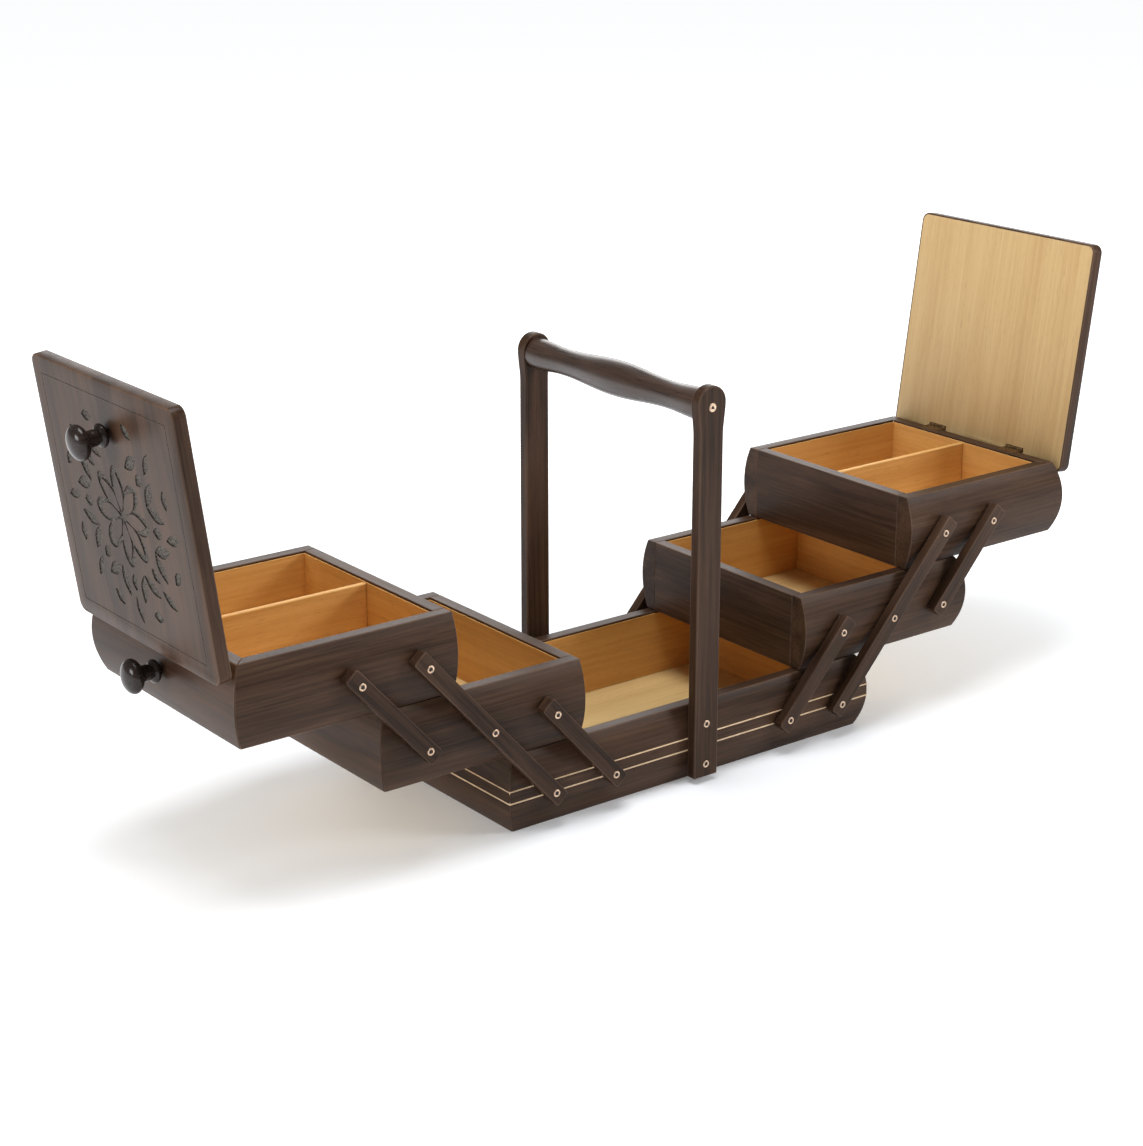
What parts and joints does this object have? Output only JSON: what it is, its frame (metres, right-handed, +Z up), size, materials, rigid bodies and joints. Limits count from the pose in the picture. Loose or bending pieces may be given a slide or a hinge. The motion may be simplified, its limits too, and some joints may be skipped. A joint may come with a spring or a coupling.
{
  "type": "sewing box with trays",
  "caption": "Dark wooden sewing box with a fixed carrying handle and two banks of stacked trays that swing out on parallel arms, with hinged lids on the upper trays.",
  "frame": {"origin": "centre of the base underside, on the surface the box stands on", "axes": "+X along the box towards the right-hand bank, -Y towards the front, +Z up"},
  "size_m": [1.0654, 0.259, 0.4232],
  "materials": {
    "walnut": "satin dark-stained wood with fine grain",
    "pine": "pale clear-finished softwood",
    "ebonised_wood": "polished near-black turned wood",
    "brass": "aged, slightly dull"
  },
  "bodies": {
    "base": {"base_back_wall": "walnut", "base_bottom": "pine", "base_front_wall": "walnut", "base_left_end": "walnut", "base_right_end": "walnut", "handle_back_upright": "walnut", "handle_front_upright": "walnut", "handle_grip": "walnut"},
    "left_long_arms": {"left_back_long_arm": "walnut", "left_front_long_arm": "walnut"},
    "left_short_lower_arms": {"left_back_short_lower_arm": "walnut", "left_front_short_lower_arm": "walnut"},
    "left_lower_tray": {"left_lower_tray_back_wall": "walnut", "left_lower_tray_bottom": "pine", "left_lower_tray_front_wall": "walnut", "left_lower_tray_inner_end": "walnut", "left_lower_tray_outer_end": "walnut"},
    "left_short_upper_arms": {"left_back_short_upper_arm": "walnut", "left_front_short_upper_arm": "walnut"},
    "left_upper_tray": {"left_back_hinge_tray_leaf": "brass", "left_end_knob": "ebonised_wood", "left_front_hinge_tray_leaf": "brass", "left_upper_tray_back_wall": "walnut", "left_upper_tray_bottom": "pine", "left_upper_tray_divider": "pine", "left_upper_tray_front_wall": "walnut", "left_upper_tray_inner_end": "walnut", "left_upper_tray_outer_end": "walnut"},
    "left_lid": {"left_back_hinge_lid_leaf": "brass", "left_front_hinge_lid_leaf": "brass", "left_lid_knob": "ebonised_wood", "left_lid_lining": "pine", "left_lid_panel": "walnut"},
    "right_long_arms": {"right_back_long_arm": "walnut", "right_front_long_arm": "walnut"},
    "right_short_lower_arms": {"right_back_short_lower_arm": "walnut", "right_front_short_lower_arm": "walnut"},
    "right_lower_tray": {"right_lower_tray_back_wall": "walnut", "right_lower_tray_bottom": "pine", "right_lower_tray_front_wall": "walnut", "right_lower_tray_inner_end": "walnut", "right_lower_tray_outer_end": "walnut"},
    "right_short_upper_arms": {"right_back_short_upper_arm": "walnut", "right_front_short_upper_arm": "walnut"},
    "right_upper_tray": {"right_back_hinge_tray_leaf": "brass", "right_end_knob": "ebonised_wood", "right_front_hinge_tray_leaf": "brass", "right_upper_tray_back_wall": "walnut", "right_upper_tray_bottom": "pine", "right_upper_tray_divider": "pine", "right_upper_tray_front_wall": "walnut", "right_upper_tray_inner_end": "walnut", "right_upper_tray_outer_end": "walnut"},
    "right_lid": {"right_back_hinge_lid_leaf": "brass", "right_front_hinge_lid_leaf": "brass", "right_lid_knob": "ebonised_wood", "right_lid_lining": "pine", "right_lid_panel": "walnut"}
  },
  "joints": [
    {"name": "left_fold", "type": "hinge", "parent": "base", "child": "left_long_arms", "pos_m": [-0.1666, 0, 0.034], "axis": [0, 1, 0], "range_deg": [0, 83.4]},
    {"name": "left_short_lower_arm_swing", "type": "hinge", "parent": "base", "child": "left_short_lower_arms", "pos_m": [-0.1018, 0, 0.034], "axis": [0, 1, 0], "range_deg": [0, 83.4]},
    {"name": "left_lower_tray_level", "type": "hinge", "parent": "left_long_arms", "child": "left_lower_tray", "pos_m": [-0.22993, 0, 0.10508], "axis": [0, 1, 0], "range_deg": [-83.4, 0]},
    {"name": "left_upper_tray_level", "type": "hinge", "parent": "left_long_arms", "child": "left_upper_tray", "pos_m": [-0.29326, 0, 0.17616], "axis": [0, 1, 0], "range_deg": [-83.4, 0]},
    {"name": "left_short_upper_arm_swing", "type": "hinge", "parent": "left_lower_tray", "child": "left_short_upper_arms", "pos_m": [-0.29473, 0, 0.10508], "axis": [0, 1, 0], "range_deg": [0, 83.4]},
    {"name": "left_lid_hinge", "type": "hinge", "parent": "left_upper_tray", "child": "left_lid", "pos_m": [-0.46602, 0, 0.21286], "axis": [0, 1, 0], "range_deg": [0, 97.5]},
    {"name": "right_fold", "type": "hinge", "parent": "base", "child": "right_long_arms", "pos_m": [0.1666, 0, 0.034], "axis": [0, -1, 0], "range_deg": [0, 83.4]},
    {"name": "right_short_lower_arm_swing", "type": "hinge", "parent": "base", "child": "right_short_lower_arms", "pos_m": [0.1018, 0, 0.034], "axis": [0, -1, 0], "range_deg": [0, 83.4]},
    {"name": "right_lower_tray_level", "type": "hinge", "parent": "right_long_arms", "child": "right_lower_tray", "pos_m": [0.22993, 0, 0.10508], "axis": [0, -1, 0], "range_deg": [-83.4, 0]},
    {"name": "right_upper_tray_level", "type": "hinge", "parent": "right_long_arms", "child": "right_upper_tray", "pos_m": [0.29326, 0, 0.17616], "axis": [0, -1, 0], "range_deg": [-83.4, 0]},
    {"name": "right_short_upper_arm_swing", "type": "hinge", "parent": "right_lower_tray", "child": "right_short_upper_arms", "pos_m": [0.29473, 0, 0.10508], "axis": [0, -1, 0], "range_deg": [0, 83.4]},
    {"name": "right_lid_hinge", "type": "hinge", "parent": "right_upper_tray", "child": "right_lid", "pos_m": [0.46602, 0, 0.21286], "axis": [0, -1, 0], "range_deg": [0, 97.5]}
  ],
  "couplings": [
    {"joint": "left_short_lower_arm_swing", "follows": "left_fold", "ratio": 1},
    {"joint": "left_lower_tray_level", "follows": "left_fold", "ratio": -1},
    {"joint": "left_upper_tray_level", "follows": "left_fold", "ratio": -1},
    {"joint": "left_short_upper_arm_swing", "follows": "left_fold", "ratio": 1},
    {"joint": "right_short_lower_arm_swing", "follows": "right_fold", "ratio": 1},
    {"joint": "right_lower_tray_level", "follows": "right_fold", "ratio": -1},
    {"joint": "right_upper_tray_level", "follows": "right_fold", "ratio": -1},
    {"joint": "right_short_upper_arm_swing", "follows": "right_fold", "ratio": 1}
  ]
}
